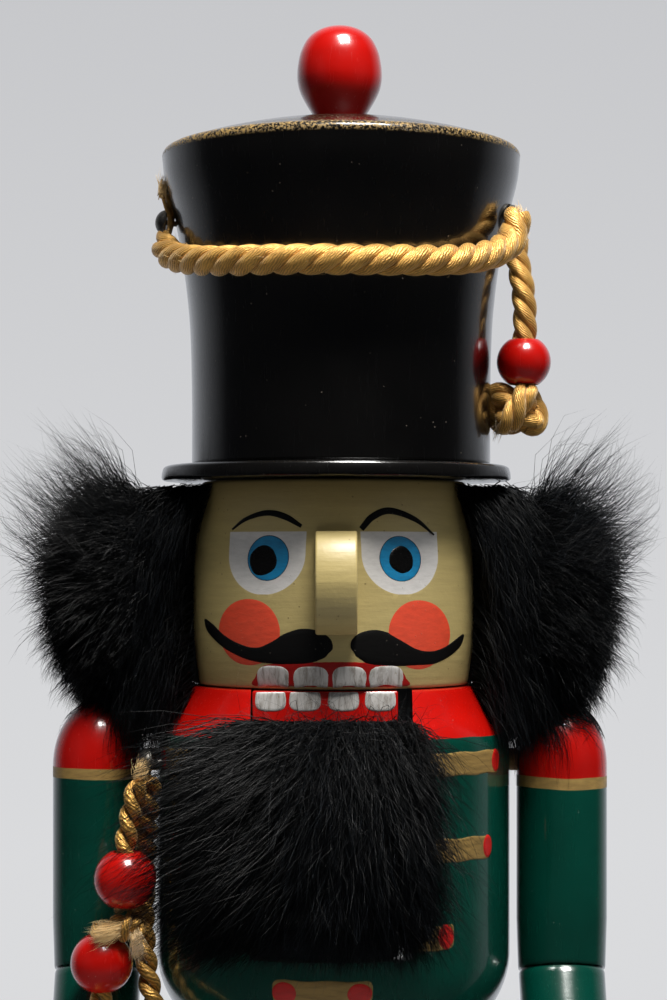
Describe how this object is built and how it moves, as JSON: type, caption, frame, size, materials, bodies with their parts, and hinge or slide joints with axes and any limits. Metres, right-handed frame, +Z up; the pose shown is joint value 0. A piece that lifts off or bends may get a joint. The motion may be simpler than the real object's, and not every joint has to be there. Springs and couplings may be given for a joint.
{
  "type": "nutcracker figure",
  "caption": "Turned-wood soldier nutcracker on a base plate, with a jaw worked by a lever at the back, a tall hat, fur hair and beard, and hanging cords with beads.",
  "frame": {"origin": "middle of the base plate's flat underside, on the axis that the torso and the head are turned about", "axes": "+Z up, the figure faces -Y, and its own left hand is at +X"},
  "size_m": [0.15, 0.1213, 0.4],
  "materials": {
    "red_lacquer": "turned wood, gloss red lacquer",
    "green_lacquer": "turned wood, gloss dark green lacquer with painted gold bars and red dots",
    "black_lacquer": "turned wood, gloss black lacquer",
    "cream_lacquer": "turned wood, gloss cream trousers over gloss black boots",
    "flesh_paint": "turned wood, satin buff paint with hand painted features",
    "bare_wood": "plain beech dowel",
    "black_fur": "black long-haired fur strip",
    "gold_cord": "twisted three-strand gold satin cord",
    "bronze_cord": "twisted two-strand metallic bronze cord",
    "steel": "plated steel wire and sheet"
  },
  "bodies": {
    "figure": {"base_plate": "green_lacquer", "base_screw_right": "steel", "leg_right": "cream_lacquer", "boot_toe_right": "black_lacquer", "hip_dowel_right": "bare_wood", "base_screw_left": "steel", "leg_left": "cream_lacquer", "boot_toe_left": "black_lacquer", "hip_dowel_left": "bare_wood", "torso": "green_lacquer", "lever_pin": "steel", "neck_dowel": "bare_wood", "head": "flesh_paint", "nose": "flesh_paint", "hair_right": "black_fur", "hair_left": "black_fur", "hair_back": "black_fur", "hat_brim": "black_lacquer", "hat_crown": "black_lacquer", "hat_dowel": "bare_wood", "hat_knob": "red_lacquer", "knob_dowel": "bare_wood", "arm_upper_right": "green_lacquer", "arm_dowel_right": "bare_wood", "forearm_right": "green_lacquer", "wrist_dowel_right": "bare_wood", "cuff_right": "red_lacquer", "hand_right": "flesh_paint", "arm_upper_left": "green_lacquer", "arm_dowel_left": "bare_wood", "forearm_left": "green_lacquer", "wrist_dowel_left": "bare_wood", "cuff_left": "red_lacquer", "hand_left": "flesh_paint", "hat_cord": "gold_cord", "hat_cord_tail": "gold_cord", "hat_cord_knot": "gold_cord", "hat_bead": "red_lacquer", "hat_tack_right": "steel", "hat_tack_left": "steel", "chest_tack": "steel", "chest_cord_short": "bronze_cord", "chest_cord_long": "bronze_cord", "chest_knot_upper": "bronze_cord", "chest_bead_upper": "red_lacquer", "chest_bead_lower": "red_lacquer"},
    "jaw": {"jaw_lever": "red_lacquer", "beard": "black_fur"}
  },
  "joints": [
    {"name": "jaw_hinge", "type": "hinge", "parent": "figure", "child": "jaw", "pos_m": [0, 0.002, 0.196], "axis": [1, 0, 0], "range_deg": [0, 20]}
  ]
}
